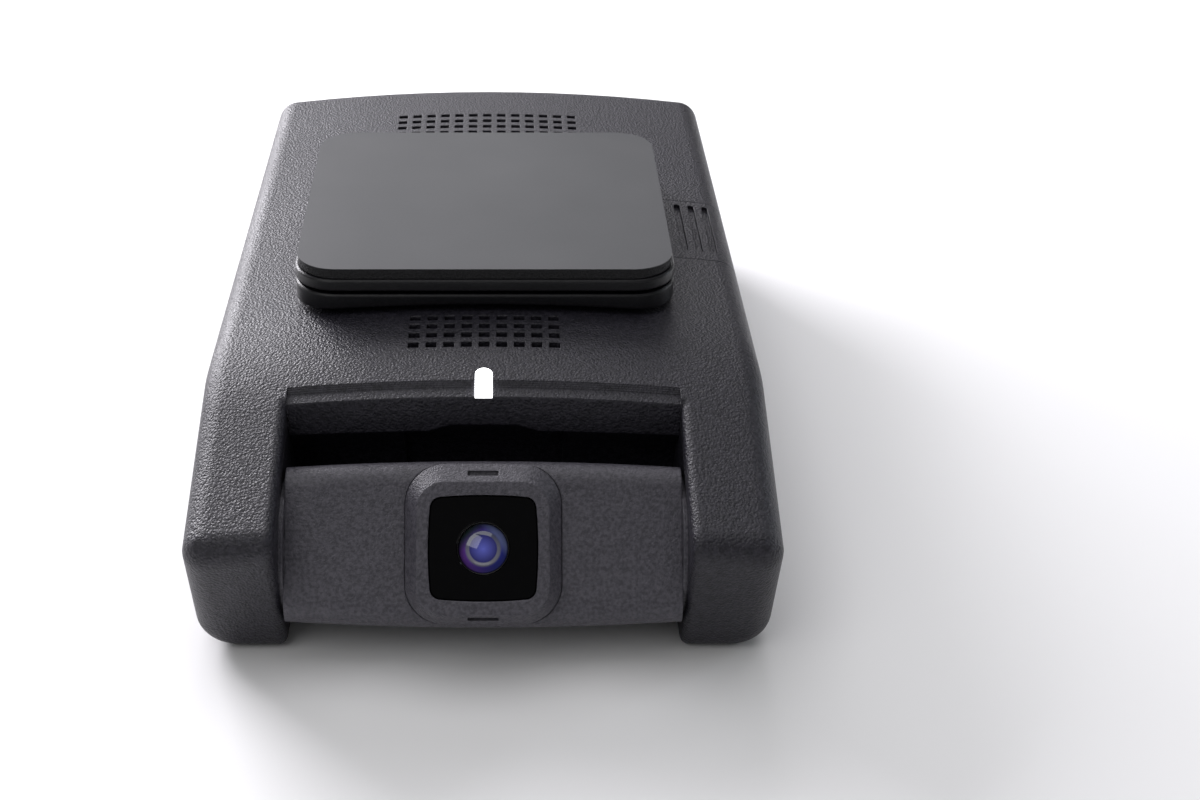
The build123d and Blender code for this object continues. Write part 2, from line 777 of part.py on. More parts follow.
def window_outline(plane, shrink):
    """Rounded square with gently bowed sides."""
    half_w = window_width / 2 - shrink
    half_h = window_height / 2 - shrink
    with BuildSketch(plane) as outline:
        with BuildLine():
            corner_w = half_w - window_bow
            corner_h = half_h - window_bow
            ThreePointArc((-corner_w, corner_h), (0, half_h), (corner_w, corner_h))
            ThreePointArc((corner_w, corner_h), (half_w, 0), (corner_w, -corner_h))
            ThreePointArc((corner_w, -corner_h), (0, -half_h), (-corner_w, -corner_h))
            ThreePointArc((-corner_w, -corner_h), (-half_w, 0), (-corner_w, corner_h))
        make_face()
        fillet(outline.vertices(), window_corner)
    return outline.sketch


with BuildPart() as lens_bezel:
    with BuildSketch(optic.offset(bezel_base)) as base:
        RectangleRounded(bezel_width, bezel_height, bezel_corner)
    extrude(amount=bezel_seat + 0.3)
    with BuildSketch(optic.offset(face_height + 0.3)) as foot:
        RectangleRounded(bezel_width, bezel_height, bezel_corner)
    with BuildSketch(optic.offset(bezel_top)) as face:
        with Locations((0, (bezel_lower_slope - bezel_upper_slope) / 2)):
            RectangleRounded(
                bezel_width - 2 * bezel_side_slope,
                bezel_height - bezel_upper_slope - bezel_lower_slope,
                bezel_corner - bezel_side_slope,
            )
    loft()
    extrude(window_outline(lens_face.offset(window_base), -fit_gap / 2), amount=2, mode=Mode.SUBTRACT)
    extrude(window_outline(lens_face.offset(bezel_base), window_ledge), amount=4, mode=Mode.SUBTRACT)
    with BuildSketch(optic.offset(bezel_top - rim_slot_depth)) as rim_slots:
        with Locations((0, (bezel_height - bezel_upper_slope) / 2 - 0.05)):
            Rectangle(rim_slot_length, 0.5)
        with Locations((0, (bezel_lower_slope - bezel_height) / 2 + 0.05)):
            Rectangle(rim_slot_length, 0.3)
    extrude(amount=2, mode=Mode.SUBTRACT)
finish(lens_bezel, "lens_bezel")

with BuildPart() as lens_window:
    extrude(window_outline(lens_face.offset(window_base), 0), amount=window_thickness)
    with BuildSketch(lens_face.offset(window_base)) as aperture:
        Circle(aperture_radius)
    extrude(amount=window_thickness, mode=Mode.SUBTRACT)
    chamfer(lens_window.faces().sort_by(optic_line)[-1].edges(), 0.12)
finish(lens_window, "lens_window")

tube_end = window_base - 0.05
front_seat = tube_end - 1.3
board_back = -4.2
sensor_z = board_back + sensor_board_thickness
holder_top = 1.0
baffle_z = 2.4

lens_plane = Plane(origin=lens_face.origin, x_dir=optic.x_dir, z_dir=-optic.y_dir)


def turned(points, arc=None):
    """A solid turned about the lens axis from a profile of (radius, height) points."""
    with BuildPart() as solid:
        with BuildSketch(lens_plane) as profile:
            with BuildLine():
                Polyline(*points, close=arc is None)
                if arc:
                    ThreePointArc(*arc)
            make_face()
        revolve(axis=lens_line)
    return solid.part


def lens_element(radius, low, edge, top):
    """A lens with a flat back, a straight rim and a domed front."""
    points = ((0, top), (0, low), (radius, low), (radius, edge))
    dome = (radius**2 + (top - edge) ** 2) / (2 * (top - edge))
    half_turn = asin(radius / dome) / 2
    middle = (dome * sin(half_turn), top - dome * (1 - cos(half_turn)))
    return turned(points, ((radius, edge), middle, (0, top)))


with BuildPart() as lens_tube:
    add(turned((
        (lens_radius + 0.05, front_seat),
        (lens_radius + 0.05, tube_end),
        (tube_radius, tube_end),
        (tube_radius, sensor_z + 1.6),
        (rear_bore, sensor_z + 1.6),
        (rear_bore, baffle_z),
        (baffle_radius, baffle_z),
        (baffle_radius, baffle_z + 0.3),
        (lens_radius - 0.7, front_seat),
    )))
finish(lens_tube, "lens_tube")

with BuildPart() as front_lens:
    add(lens_element(lens_radius, front_seat + 0.02, tube_end - 0.4, tube_end + 0.4))
finish(front_lens, "front_lens")

with BuildPart() as middle_lens:
    add(lens_element(rear_bore - 0.03, 0.4, 1.4, baffle_z - 0.05))
finish(middle_lens, "middle_lens")

with BuildPart() as rear_lens:
    add(lens_element(rear_bore - 0.03, sensor_z + 1.8, -0.4, 0.3))
finish(rear_lens, "rear_lens")

with BuildPart() as lens_holder:
    with BuildSketch(lens_face.offset(sensor_z)) as foot:
        RectangleRounded(10.4, 9.6, 0.8)
    extrude(amount=2.4)
    with BuildSketch(lens_face.offset(sensor_z)) as collar:
        Circle(tube_radius + 0.9)
    extrude(amount=holder_top - sensor_z)
    with BuildSketch(lens_face.offset(sensor_z)) as bore:
        Circle(tube_radius + 0.05)
    extrude(amount=holder_top - sensor_z, mode=Mode.SUBTRACT)
    with BuildSketch(lens_face.offset(sensor_z)) as sensor_room:
        Rectangle(8.2, 6.6)
    extrude(amount=1.4, mode=Mode.SUBTRACT)
finish(lens_holder, "lens_holder")

with BuildPart() as image_sensor:
    with BuildSketch(lens_face.offset(sensor_z)) as package:
        RectangleRounded(7.6, 6.0, 0.3)
    extrude(amount=0.7)
    with BuildSketch(lens_face.offset(sensor_z + 0.7)) as cover_glass:
        Rectangle(6.2, 4.6)
    extrude(amount=0.3)
finish(image_sensor, "image_sensor")

with BuildPart() as sensor_board:
    with BuildSketch(optic.offset(board_back)) as outline:
        RectangleRounded(17.0, 10.8, 0.8)
    extrude(amount=sensor_board_thickness)
finish(sensor_board, "sensor_board")

ribbon_run = board_back - 0.5
ribbon_end = journal_end - 0.2

with BuildPart() as sensor_ribbon:
    with BuildSketch(Plane(origin=optic.origin, x_dir=optic.x_dir, z_dir=-optic.y_dir)) as strip:
        with BuildLine() as centre_line:
            FilletPolyline(
                (-3.0, ribbon_run),
                (-13.5, ribbon_run),
                (-17.2, 0),
                (-ribbon_end, 0),
                radius=1.5,
            )
            offset(amount=ribbon_thickness / 2)
        make_face()
    extrude(amount=ribbon_width / 2, both=True)
    with BuildSketch(optic.offset(board_back)) as plug:
        with Locations((-3.0, 0)):
            Rectangle(2.6, 6.0)
    extrude(amount=ribbon_run - ribbon_thickness - board_back)
finish(sensor_ribbon, "sensor_ribbon")

# ------------------------------------------------------------------ windscreen mount
shoe_half = pad_width / 2 + bracket_rim
shoe_length = pad_length + 2 * bracket_rim
slot_low = shoe_top - 1.9


def plate_outline(z, shrink):
    """Rounded outline of the mount's plates."""
    with BuildSketch(Plane.XY.offset(z)) as outline:
        with Locations((0, pad_y)):
            RectangleRounded(2 * (shoe_half - shrink), shoe_length - 2 * shrink, pad_corner - shrink)
    return outline.sketch


def arched_cut(height):
    """Everything under the body's arch raised by a height."""
    with BuildPart() as cut:
        with BuildSketch(Plane.XZ) as arch:
            with Locations((0, crown_centre + height)):
                Circle(crown_radius)
        extrude(amount=2 * rear_y, both=True)
    return cut.part


with BuildPart() as shoe_foot:
    extrude(plate_outline(crown_top - 3, shoe_inset), amount=shoe_lift + 3.3)
    add(arched_cut(0), mode=Mode.SUBTRACT)

with BuildPart() as mount_shoe:
    extrude(plate_outline(crown_top - 3, 0), amount=shoe_top - crown_top + 3)
    add(arched_cut(shoe_lift), mode=Mode.SUBTRACT)
    chamfer(mount_shoe.faces().sort_by(Axis.Z)[-1].edges(), 0.2)
    add(shoe_foot.part)
    # slots for the bracket's rails, open to the rear
    for side in (-1, 1):
        for z, width, depth in (
            (slot_low, rail_flange, rail_flange_thickness + 2 * slide_gap),
            (slot_low, rail_stem, shoe_top - slot_low),
        ):
            with BuildSketch(Plane.XY.offset(z)) as slot:
                with Locations((side * rail_x, pad_y - rail_length / 2 - slide_gap)):
                    Rectangle(width + 2 * slide_gap, rail_length + 20, align=(Align.CENTER, Align.MIN))
            extrude(amount=depth, mode=Mode.SUBTRACT)
    with BuildSketch(Plane.XY.offset(crown_top - wall)) as shoe_pilots:
        with Locations(*shoe_spots):
            Circle(screw_radius)
    extrude(amount=wall + 1.4, mode=Mode.SUBTRACT)
    with BuildSketch(Plane.XY.offset(shoe_top)) as leaf_pocket:
        with Locations((0, pad_y)):
            Rectangle(7.0, 14.0)
    extrude(amount=-0.9, mode=Mode.SUBTRACT)
finish(mount_shoe, "mount_shoe")

with BuildPart() as shoe_screws:
    for x, y in shoe_spots:
        seat = crown_z(x) - wall
        with BuildSketch(Plane.XY.offset(seat - head_thickness)) as head:
            with Locations((x, y)):
                Circle(screw_head)
                RegularPolygon(0.7, 6, mode=Mode.SUBTRACT)
        extrude(amount=head_thickness - 0.08)
        with BuildSketch(Plane.XY.offset(seat - head_thickness * 0.4)) as shank:
            with Locations((x, y)):
                Circle(screw_radius)
        extrude(amount=wall + 1.2 + head_thickness * 0.4)
finish(shoe_screws, "shoe_screws")

leaf_z = shoe_top - 0.9

with BuildPart() as detent_leaf:
    with BuildSketch(Plane.YZ) as leaf:
        with BuildLine():
            Polyline(
                (pad_y - 6.5, leaf_z + 0.1),
                (pad_y - 3.0, leaf_z + 0.1),
                (pad_y, leaf_z + 0.9 + leaf_rise),
                (pad_y + 3.0, leaf_z + 0.1),
                (pad_y + 6.5, leaf_z + 0.1),
            )
            offset(amount=0.1, side=Side.BOTH)
        make_face()
    extrude(amount=2.5, both=True)
finish(detent_leaf, "detent_leaf")

with BuildPart() as mount_bracket:
    extrude(plate_outline(bracket_z, 0), amount=bracket_plate)
    chamfer(mount_bracket.faces().sort_by(Axis.Z)[-1].edges(), 0.2)
    for side in (-1, 1):
        for z, width, height in (
            (slot_low + slide_gap, rail_flange, rail_flange_thickness),
            (slot_low + slide_gap, rail_stem, bracket_z - slot_low - slide_gap),
        ):
            with BuildSketch(Plane.XY.offset(z)) as rail:
                with Locations((side * rail_x, pad_y)):
                    Rectangle(width, rail_length)
            extrude(amount=height)
    with BuildSketch(Plane.XY.offset(bracket_z)) as detent_notch:
        with Locations((0, pad_y)):
            Rectangle(6.0, 2.6)
    extrude(amount=0.5, mode=Mode.SUBTRACT)
finish(mount_bracket, "mount_bracket")

with BuildPart() as adhesive_pad:
    extrude(plate_outline(foam_z, bracket_rim), amount=foam)
finish(adhesive_pad, "adhesive_pad")

with BuildPart() as pad_liner:
    extrude(plate_outline(liner_z, bracket_rim), amount=liner)
finish(pad_liner, "pad_liner")

# ------------------------------------------------------------------ memory card door and card
with BuildPart() as grooves:
    add(body_block(0))
    add(body_block(groove_depth), mode=Mode.SUBTRACT)
    with BuildSketch(Plane.XY.offset(tilt_z)) as groove_plan:
        for x in groove_xs:
            with Locations((x, door_y + 0.5)):
                SlotOverall(groove_length, groove_width, rotation=90)
    extrude(amount=crown_top, mode=Mode.INTERSECT)

with BuildPart() as memory_card_door:
    add(door_panel(door_thickness, fit_gap))
    add(grooves.part, mode=Mode.SUBTRACT)
    with BuildSketch(Plane.YZ.offset(body_half - door_thickness - 1.0)) as tongue:
        with Locations((door_y, slot_z)):
            RectangleRounded(card_width + 0.8, card_thickness + 0.4, 0.4)
    extrude(amount=1.4)
finish(memory_card_door, "memory_card_door")

socket_half = card_width / 2 + 0.9

with BuildPart() as card_socket:
    with BuildSketch(Plane.XY.offset(board_top)) as shell_plan:
        with Locations((board_half + 0.6, door_y)):
            Rectangle(board_half + 1.6 - card_x, 2 * socket_half, align=(Align.MAX, Align.CENTER))
    extrude(amount=card_z + card_thickness + 0.35 - board_top)
    with BuildSketch(Plane.XY.offset(card_z - 0.05)) as card_room:
        with Locations((card_x - 0.1, door_y)):
            Rectangle(card_length + 2, card_width + 0.1, align=(Align.MIN, Align.CENTER))
    extrude(amount=card_thickness + 0.1, mode=Mode.SUBTRACT)
finish(card_socket, "card_socket")

with BuildPart() as memory_card:
    with BuildSketch(Plane.XY.offset(card_z)) as card_plan:
        with Locations((card_x, door_y)):
            Rectangle(card_length, card_width, align=(Align.MIN, Align.CENTER))
        chamfer(card_plan.vertices().group_by(Axis.X)[0].sort_by(Axis.Y)[-1], 1.2)
    extrude(amount=card_thickness)
finish(memory_card, "memory_card")

# ------------------------------------------------------------------ light guide and its lamp
with BuildPart() as light_guide:
    add(body_block(0))
    extrude(recess_outline(0), amount=recess_half, both=True, mode=Mode.SUBTRACT)
    fillet(recess_lips(light_guide), lip_radius)
    add(guide_space(0), mode=Mode.INTERSECT)
finish(light_guide, "light_guide")

lamp_y = guide_back - guide_stem / 2
lamp_top = guide_end - 0.15

with BuildPart() as status_lamp:
    with BuildSketch(Plane.XY.offset(lamp_top - lamp_height)) as lamp_case:
        with Locations((0, lamp_y)):
            Rectangle(1.6, 0.8)
    extrude(amount=lamp_height)
finish(status_lamp, "status_lamp")

with BuildPart() as lamp_board:
    with BuildSketch(Plane.XY.offset(lamp_top - lamp_height - 0.6)) as lamp_plan:
        with Locations((0, lamp_y - 0.5)):
            Rectangle(9.0, 6.0, align=(Align.CENTER, Align.MIN))
    extrude(amount=0.6)
finish(lamp_board, "lamp_board")

# ------------------------------------------------------------------ main board and what it carries
with BuildPart() as main_board:
    with BuildSketch(Plane.XY.offset(board_z)) as board_plan:
        with Locations((0, board_y0)):
            Rectangle(2 * board_half, board_y1 - board_y0, align=(Align.CENTER, Align.MIN))
        with Locations(*cover_spots):
            Rectangle(2 * boss_radius + 2, 2 * boss_radius + 2, mode=Mode.SUBTRACT)
        with Locations(*board_screw_spots):
            Circle(screw_radius + 0.2, mode=Mode.SUBTRACT)
    extrude(amount=board_thickness)
finish(main_board, "main_board")

with BuildPart() as board_screws:
    with BuildSketch(Plane.XY.offset(board_z - head_thickness)) as heads:
        with Locations(*board_screw_spots):
            Circle(screw_head)
            RegularPolygon(0.7, 6, mode=Mode.SUBTRACT)
    extrude(amount=head_thickness)
    with BuildSketch(Plane.XY.offset(board_z - 0.3)) as shanks:
        with Locations(*board_screw_spots):
            Circle(screw_radius)
    extrude(amount=6.5)
finish(board_screws, "board_screws")


def block_on_board(centre, size, corner=0.3, base=None, part_name=None):
    """A square-cornered component that stands on the board or on another height."""
    with BuildPart() as component:
        with BuildSketch(Plane.XY.offset(board_top if base is None else base)) as footprint:
            with Locations(centre):
                RectangleRounded(size[0], size[1], corner)
        extrude(amount=size[2])
    if part_name:
        finish(component, part_name)
    return component.part


processor_spot = (4.0, -7.5)
processor_height = 1.2
block_on_board(processor_spot, (13.0, 13.0, processor_height), part_name="processor")
block_on_board(processor_spot, (12.0, 12.0, 0.8), base=board_top + processor_height,
               part_name="thermal_pad")
spreader_z = board_top + processor_height + 0.8

with BuildPart() as heat_spreader:
    with BuildSketch(Plane.XY.offset(spreader_z)) as spreader_plan:
        with Locations(processor_spot):
            RectangleRounded(18.6, 14.5, 1.0)
    extrude(amount=0.9)
    with BuildSketch(Plane.XY.offset(spreader_z + 0.9)) as fins:
        with Locations(processor_spot):
            with GridLocations(2.9, 0, 6, 1):
                Rectangle(0.9, 13.5)
    extrude(amount=2.4)
finish(heat_spreader, "heat_spreader")

with BuildPart() as memory_chips:
    with BuildSketch(Plane.XY.offset(board_top)) as chip_plan:
        with Locations((-10.0, 10.5), (3.0, 10.5)):
            RectangleRounded(11.0, 9.0, 0.3)
    extrude(amount=1.0)
finish(memory_chips, "memory_chips")

block_on_board((-14.5, -6.5), (17.0, 17.0, 4.0), corner=0.8, part_name="patch_antenna")
block_on_board((-12.0, 36.0), (15.0, 12.0, -2.2), base=board_z, part_name="wireless_module")

with BuildPart() as supercapacitors:
    for side in (-1, 1):
        with BuildSketch(Plane.YZ.offset(side * 2.5)) as can:
            with Locations((22.5, board_top + capacitor_radius + 0.02)):
                Circle(capacitor_radius)
        extrude(amount=side * 17.0)
    fillet(supercapacitors.edges().filter_by(GeomType.CIRCLE), 0.5)
finish(supercapacitors, "supercapacitors")

with BuildPart() as clock_cell:
    with BuildSketch(Plane.XY.offset(board_top)) as cell:
        with Locations((8.0, 33.0)):
            Circle(3.4)
    extrude(amount=2.1)
finish(clock_cell, "clock_cell")

with BuildPart() as ribbon_tail:
    with BuildSketch(Plane.YZ.offset(-board_half - 0.8)) as run:
        with Locations((tilt_y, tilt_z)):
            Rectangle(board_y0 + 3 - tilt_y, ribbon_width, align=(Align.MIN, Align.CENTER))
    extrude(amount=ribbon_thickness)
    with BuildSketch(Plane.XY.offset(board_z - ribbon_thickness)) as tab:
        with Locations((-board_half - 0.8, board_y0 + 0.2)):
            Rectangle(4.0, 2.8, align=(Align.MIN, Align.MIN))
    extrude(amount=ribbon_thickness)
finish(ribbon_tail, "ribbon_tail")

# ------------------------------------------------------------------ rear sockets
socket_front = rear_y - 11.0
nose_y = rear_y - 0.3
case_rear = rear_y - wall - fit_gap


def jack(name, x, bore_radius, nose_radius, width, height):
    """A round jack: a block on the board, a nose in the rear wall and a bore for the plug."""
    with BuildPart() as part_jack:
        with BuildSketch(Plane.XY.offset(board_top)) as case:
            with Locations((x, socket_front)):
                Rectangle(width, case_rear - socket_front, align=(Align.CENTER, Align.MIN))
        extrude(amount=height)
        with BuildSketch(Plane.XZ.offset(-case_rear)) as nose:
            with Locations((x, socket_z)):
                Circle(nose_radius)
        extrude(amount=case_rear - nose_y)
        with BuildSketch(Plane.XZ.offset(-nose_y)) as bore:
            with Locations((x, socket_z)):
                Circle(bore_radius)
        extrude(amount=9.0, mode=Mode.SUBTRACT)
    finish(part_jack, name)


jack("dc_jack", dc_x, dc_radius, dc_radius + 1.2, 6.6, 6.2)
jack("antenna_jack", antenna_x, antenna_radius, antenna_radius + 1.1, 5.2, 5.4)


def flat_port(name, x, width, height, corner):
    """A thin-walled metal shell with a contact tongue inside."""
    with BuildPart() as port:
        with BuildSketch(Plane.XZ.offset(-nose_y)) as shell:
            with Locations((x, socket_z)):
                RectangleRounded(width, height, corner)
                RectangleRounded(width - 0.8, height - 0.8, corner - 0.4, mode=Mode.SUBTRACT)
        extrude(amount=6.5)
        with BuildSketch(Plane.XZ.offset(-nose_y + 5.8)) as back:
            with Locations((x, socket_z)):
                RectangleRounded(width, height, corner)
        extrude(amount=0.8)
        with BuildSketch(Plane.XZ.offset(-nose_y + 0.8)) as tongue:
            with Locations((x, socket_z)):
                Rectangle(width - 2.6, 0.7)
        extrude(amount=5.2)
        with BuildSketch(Plane.XY.offset(board_top)) as foot:
            with Locations((x, nose_y - 2.8)):
                Rectangle(width - 1.0, 3.6, align=(Align.CENTER, Align.MAX))
        extrude(amount=socket_z - height / 2 + 0.2 - board_top)
    finish(port, name)


flat_port("camera_port", camera_port_x, 8.2, 3.4, 0.7)
flat_port("service_port", service_port_x, 9.4, 3.8, 1.8)
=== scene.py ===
"""Looks of the dash camera: moulded body, tilting lens barrel, windscreen mount and lit guide."""

import json
from math import radians

import bmesh
import bpy
from mathutils import Matrix, Vector


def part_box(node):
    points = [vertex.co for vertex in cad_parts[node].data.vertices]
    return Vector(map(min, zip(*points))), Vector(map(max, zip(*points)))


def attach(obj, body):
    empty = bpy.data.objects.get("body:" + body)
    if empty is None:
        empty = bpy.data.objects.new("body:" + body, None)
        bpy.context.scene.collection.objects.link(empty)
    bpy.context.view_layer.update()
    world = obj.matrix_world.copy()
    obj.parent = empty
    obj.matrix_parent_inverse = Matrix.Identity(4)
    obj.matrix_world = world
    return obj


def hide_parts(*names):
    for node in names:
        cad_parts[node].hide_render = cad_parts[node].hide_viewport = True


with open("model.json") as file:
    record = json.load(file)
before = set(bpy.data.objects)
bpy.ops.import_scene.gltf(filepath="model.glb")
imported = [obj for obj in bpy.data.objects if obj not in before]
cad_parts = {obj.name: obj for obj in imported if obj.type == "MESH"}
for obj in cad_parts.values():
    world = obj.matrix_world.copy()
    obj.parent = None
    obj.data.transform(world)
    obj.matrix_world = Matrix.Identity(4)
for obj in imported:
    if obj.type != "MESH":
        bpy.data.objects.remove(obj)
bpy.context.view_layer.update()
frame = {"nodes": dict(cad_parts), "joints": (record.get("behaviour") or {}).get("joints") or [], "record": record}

# ------------------------------------------------------------------ sizes (m)
pad_corner = 0.005
pad_edge = 0.00018           # softened edges of the foam
pad_waist = 0.00015          # the foam is pressed in by this much at half its thickness
corner_steps = 10
edge_steps = 4
same_height = 1e-6
soft_edge_radius = 0.00025   # of the softened edges on moulded plastic
guide_glow_half = 0.001      # the lit guide fades this far from its middle
floor_size = 3.0

# Coats of the front element, by distance from the lens axis
core_edge = (0.0014, 0.0015)
ring_edge = (0.00175, 0.00195)
rim_edge = (0.0024, 0.0026)

# ------------------------------------------------------------------ places taken from the frame
tilt = next(joint for joint in frame["joints"] if joint["name"] == "barrel_tilt")
pivot = Vector(tilt["pos_m"])


def middle(node):
    """Centre of a node's box."""
    low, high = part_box(node)
    return (low + high) / 2


def lens_turn():
    """Turn of the lens: z out of the lens, x along the tilt axis."""
    out = (middle("lens_window") - pivot).normalized()
    out.x = 0
    out.normalize()
    across = Vector((1, 0, 0))
    up = out.cross(across)
    return Matrix((across, up, out)).transposed().to_euler()


# ------------------------------------------------------------------ node helpers
def new_group(name, inputs, outputs):
    """An empty shader group with the sockets given as name and kind."""
    group = bpy.data.node_groups.new(name, "ShaderNodeTree")
    for socket, kind in inputs.items():
        group.interface.new_socket(socket, in_out="INPUT", socket_type=kind)
    for socket, kind in outputs.items():
        group.interface.new_socket(socket, in_out="OUTPUT", socket_type=kind)
    enter = group.nodes.new("NodeGroupInput")
    leave = group.nodes.new("NodeGroupOutput")
    return group, enter, leave


def set_or_link(tree, socket, value):
    """Sets a socket to a number, or links it."""
    if isinstance(value, (int, float)):
        socket.default_value = value
    else:
        tree.links.new(value, socket)


def math_node(tree, operation, first, second=None):
    """A math node with its inputs linked or set."""
    node = tree.nodes.new("ShaderNodeMath")
    node.operation = operation
    set_or_link(tree, node.inputs[0], first)
    if second is not None:
        set_or_link(tree, node.inputs[1], second)
    return node.outputs[0]


def noise_node(tree, place, scale, detail=2.0, roughness=0.5):
    """Noise on object coordinates."""
    node = tree.nodes.new("ShaderNodeTexNoise")
    node.inputs["Detail"].default_value = detail
    node.inputs["Roughness"].default_value = roughness
    tree.links.new(place, node.inputs["Vector"])
    set_or_link(tree, node.inputs["Scale"], scale)
    return node.outputs["Fac"]


def remap(tree, value, between, onto=(0.0, 1.0)):
    """A clamped map from one range onto another."""
    node = tree.nodes.new("ShaderNodeMapRange")
    tree.links.new(value, node.inputs["Value"])
    node.inputs["From Min"].default_value, node.inputs["From Max"].default_value = between
    node.inputs["To Min"].default_value, node.inputs["To Max"].default_value = onto
    return node.outputs["Result"]


def bump(tree, height, strength, depth, normal=None):
    """A bump node, on top of another normal if one is given."""
    node = tree.nodes.new("ShaderNodeBump")
    node.inputs["Strength"].default_value = strength
    node.inputs["Distance"].default_value = depth
    tree.links.new(height, node.inputs["Height"])
    if normal is not None:
        tree.links.new(normal, node.inputs["Normal"])
    return node.outputs["Normal"]


def blend_colour(tree, mask, low, high):
    """Mixes two colours or links by a mask."""
    node = tree.nodes.new("ShaderNodeMix")
    node.data_type = "RGBA"
    tree.links.new(mask, node.inputs["Factor"])
    for socket, value in ((node.inputs[6], low), (node.inputs[7], high)):
        if isinstance(value, tuple):
            socket.default_value = (*value, 1.0)
        else:
            tree.links.new(value, socket)
    return node.outputs[2]


def stretched(tree, place, scale):
    """Object coordinates stretched along some axes, for lines that run one way."""
    node = tree.nodes.new("ShaderNodeMapping")
    node.inputs["Scale"].default_value = scale
    tree.links.new(place, node.inputs["Vector"])
    return node.outputs["Vector"]


def place_group(tree, group, **values):
    """A group node in a material, with its own values."""
    node = tree.nodes.new("ShaderNodeGroup")
    node.node_tree = group
    for name, value in values.items():
        set_or_link(tree, node.inputs[name], value)
    return node


def start_material(name):
    """A material with its shader and object coordinates."""
    material = bpy.data.materials.new(name)
    material.use_nodes = True
    tree = material.node_tree
    shader = tree.nodes["Principled BSDF"]
    place = tree.nodes.new("ShaderNodeTexCoord").outputs["Object"]
    return material, tree, shader, place


# ------------------------------------------------------------------ shared effects
def make_grain_group():
    """Spark-eroded mould grain: a height and a tone over fine pits, and soft patches."""
    group, enter, leave = new_group(
        "moulded_grain",
        {"Place": "NodeSocketVector", "Pitch": "NodeSocketFloat"},
        {"Height": "NodeSocketFloat", "Tone": "NodeSocketFloat", "Patch": "NodeSocketFloat"},
    )
    place, pitch = enter.outputs["Place"], enter.outputs["Pitch"]
    fine = noise_node(group, place, pitch, detail=3.0, roughness=0.6)
    cells = group.nodes.new("ShaderNodeTexVoronoi")
    group.links.new(place, cells.inputs["Vector"])
    group.links.new(pitch, cells.inputs["Scale"])
    pits = remap(group, cells.outputs["Distance"], between=(0.1, 0.7))
    height = math_node(group, "ADD", fine, math_node(group, "MULTIPLY", pits, 0.6))
    group.links.new(height, leave.inputs["Height"])
    speck = noise_node(group, place, math_node(group, "MULTIPLY", pitch, 0.6))
    group.links.new(remap(group, speck, between=(0.35, 0.65)), leave.inputs["Tone"])
    patch = noise_node(group, place, scale=45.0, detail=3.0)
    group.links.new(remap(group, patch, between=(0.3, 0.7)), leave.inputs["Patch"])
    return group


def make_edge_group():
    """Rounded shading at edges, and a mask of the lighter line along them, which is partly wear and partly a
    painted highlight.
    """
    group, enter, leave = new_group(
        "edge_wear_and_highlight",
        {"Place": "NodeSocketVector", "Radius": "NodeSocketFloat"},
        {"WearAndHighlight": "NodeSocketFloat", "Normal": "NodeSocketVector"},
    )
    bevel = group.nodes.new("ShaderNodeBevel")
    bevel.samples = 6
    group.links.new(enter.outputs["Radius"], bevel.inputs["Radius"])
    geometry = group.nodes.new("ShaderNodeNewGeometry")
    dot = group.nodes.new("ShaderNodeVectorMath")
    dot.operation = "DOT_PRODUCT"
    group.links.new(bevel.outputs["Normal"], dot.inputs[0])
    group.links.new(geometry.outputs["Normal"], dot.inputs[1])
    # Edges are lightened along this mask: partly rubbed wear, partly a painted highlight on the rounded edges.
    edge = remap(group, dot.outputs["Value"], between=(0.995, 0.9))
    rubbed = noise_node(group, enter.outputs["Place"], scale=700.0, detail=4.0, roughness=0.65)
    breakup = remap(group, rubbed, between=(0.42, 0.62))
    group.links.new(math_node(group, "MULTIPLY", edge, breakup), leave.inputs["WearAndHighlight"])
    group.links.new(bevel.outputs["Normal"], leave.inputs["Normal"])
    return group


def make_dust_group():
    """Fine dust that settles on faces that look up."""
    group, enter, leave = new_group(
        "settled_dust",
        {"Place": "NodeSocketVector", "Amount": "NodeSocketFloat"},
        {"Mask": "NodeSocketFloat"},
    )
    place = enter.outputs["Place"]
    geometry = group.nodes.new("ShaderNodeNewGeometry")
    split = group.nodes.new("ShaderNodeSeparateXYZ")
    group.links.new(geometry.outputs["Normal"], split.inputs[0])
    up = remap(group, split.outputs["Z"], between=(0.2, 0.95))
    specks = noise_node(group, place, scale=1800.0, detail=4.0, roughness=0.7)
    motes = remap(group, specks, between=(0.58, 0.72))
    drift = remap(group, noise_node(group, place, scale=60.0), between=(0.35, 0.7))
    mask = math_node(group, "MULTIPLY", math_node(group, "MULTIPLY", motes, drift), up)
    amount = math_node(group, "MULTIPLY", mask, enter.outputs["Amount"])
    group.links.new(amount, leave.inputs["Mask"])
    return group


grain_group = make_grain_group()
edge_wear_highlight_group = make_edge_group()
dust_group = make_dust_group()


